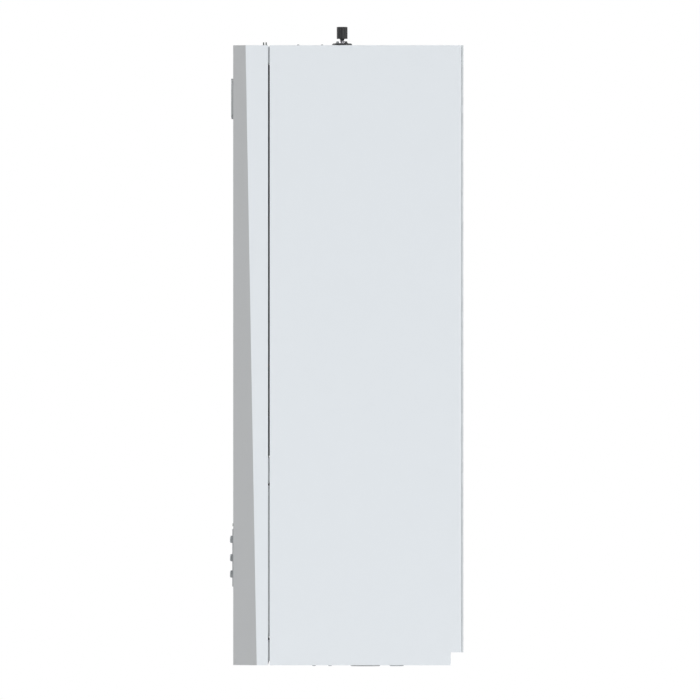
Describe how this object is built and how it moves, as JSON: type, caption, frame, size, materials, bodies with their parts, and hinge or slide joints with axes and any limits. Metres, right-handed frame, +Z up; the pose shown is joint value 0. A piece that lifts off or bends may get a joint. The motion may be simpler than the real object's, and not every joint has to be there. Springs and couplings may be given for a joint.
{
  "type": "gas boiler",
  "caption": "Wall-hung room-sealed gas boiler with a bevelled lift-off front cover, push buttons, flush flue opening, top air vent and pipe unions underneath.",
  "frame": {"origin": "middle of the flat back face, on the wall", "axes": "+Y into the wall, +Z up, +X to the right when looking at the front; the front cover looks along -Y"},
  "size_m": [0.4, 0.2641, 0.7229],
  "materials": {
    "white_paint": "satin",
    "grey_plate": "satin",
    "galvanised_steel": "galvanised",
    "black_rubber": "matt",
    "black_plastic": "satin",
    "grey_plastic": "satin",
    "dark_lens": "gloss",
    "cast_aluminium": "as cast",
    "stainless_steel": "bright",
    "copper": "drawn copper",
    "brass": "machined",
    "red_paint": "satin",
    "red_plastic": "gloss",
    "ceramic": "matt",
    "circuit_board": "satin"
  },
  "bodies": {
    "casing": {"back_panel": "white_paint", "side_panel_right": "white_paint", "side_panel_left": "white_paint", "top_panel": "white_paint", "bottom_panel": "white_paint", "chamber_frame": "galvanised_steel", "chamber_floor": "galvanised_steel", "chamber_gasket": "black_rubber", "flue_collar": "cast_aluminium", "air_vent_body": "brass", "air_vent_flange": "black_plastic", "heat_exchanger": "grey_plastic", "heat_coil": "stainless_steel", "exchanger_crossbar": "galvanised_steel", "flue_duct": "grey_plastic", "burner_door": "cast_aluminium", "burner": "stainless_steel", "ignition_electrode": "ceramic", "fan_housing": "cast_aluminium", "fan_inlet": "black_plastic", "fan_motor": "black_plastic", "mixer_elbow": "cast_aluminium", "gas_valve": "cast_aluminium", "gas_outlet_pipe": "copper", "expansion_vessel": "red_paint", "flow_union_nut": "brass", "hot_water_union_nut": "brass", "gas_union_nut": "brass", "cold_water_union_nut": "brass", "return_union_nut": "brass", "gas_inlet_pipe": "copper", "return_block": "brass", "flow_block": "brass", "diverter_motor": "black_plastic", "flow_pipe": "copper", "plate_heat_exchanger": "stainless_steel", "pump_body": "cast_aluminium", "pump_motor": "black_plastic", "return_pipe": "copper", "safety_valve": "brass", "condensate_trap": "grey_plastic", "condensate_hose": "black_rubber", "ignition_transformer": "black_plastic", "control_box": "grey_plastic", "control_panel": "grey_plastic", "display_lens": "dark_lens", "status_light": "grey_plastic", "circuit_board": "circuit_board"},
    "cover": {"front_cover": "white_paint", "cover_clip_right": "galvanised_steel", "cover_clip_left": "galvanised_steel", "cover_badge": "grey_plate"},
    "upper_button": {"button_top": "grey_plastic"},
    "middle_button": {"button_middle": "grey_plastic"},
    "lower_button": {"button_bottom": "grey_plastic"},
    "vent_cap": {"air_vent_cap": "black_plastic"},
    "fan_wheel": {"fan_impeller": "black_plastic"},
    "pump_wheel": {"pump_impeller": "black_plastic"},
    "diverter": {"diverter_spindle": "stainless_steel"},
    "safety_knob": {"safety_valve_knob": "red_plastic"}
  },
  "joints": [
    {"name": "cover_lift_off", "type": "slide", "parent": "casing", "child": "cover", "axis": [0, -1, 0], "range_m": [0, 0.3]},
    {"name": "upper_button_press", "type": "slide", "parent": "casing", "child": "upper_button", "axis": [0, 1, 0], "range_m": [0, 0.0015], "stiffness_N_per_m": 400, "springref_m": -0.001},
    {"name": "middle_button_press", "type": "slide", "parent": "casing", "child": "middle_button", "axis": [0, 1, 0], "range_m": [0, 0.0015], "stiffness_N_per_m": 400, "springref_m": -0.001},
    {"name": "lower_button_press", "type": "slide", "parent": "casing", "child": "lower_button", "axis": [0, 1, 0], "range_m": [0, 0.0015], "stiffness_N_per_m": 400, "springref_m": -0.001},
    {"name": "vent_cap_turn", "type": "hinge", "parent": "casing", "child": "vent_cap", "pos_m": [0.15, -0.137, 0.36], "axis": [0, 0, 1], "range_deg": [0, 360]},
    {"name": "fan_spin", "type": "hinge", "parent": "casing", "child": "fan_wheel", "pos_m": [-0.042, -0.218, 0.008], "axis": [0, 1, 0], "continuous": true},
    {"name": "pump_spin", "type": "hinge", "parent": "casing", "child": "pump_wheel", "pos_m": [0.095, -0.11, -0.236], "axis": [0, 1, 0], "continuous": true},
    {"name": "diverter_travel", "type": "slide", "parent": "casing", "child": "diverter", "axis": [0, 1, 0], "range_m": [0, 0.004]},
    {"name": "safety_knob_turn", "type": "hinge", "parent": "casing", "child": "safety_knob", "pos_m": [0.065, -0.17, -0.304], "axis": [0, 1, 0], "range_deg": [0, 90], "stiffness_Nm_per_rad": 0.05}
  ]
}
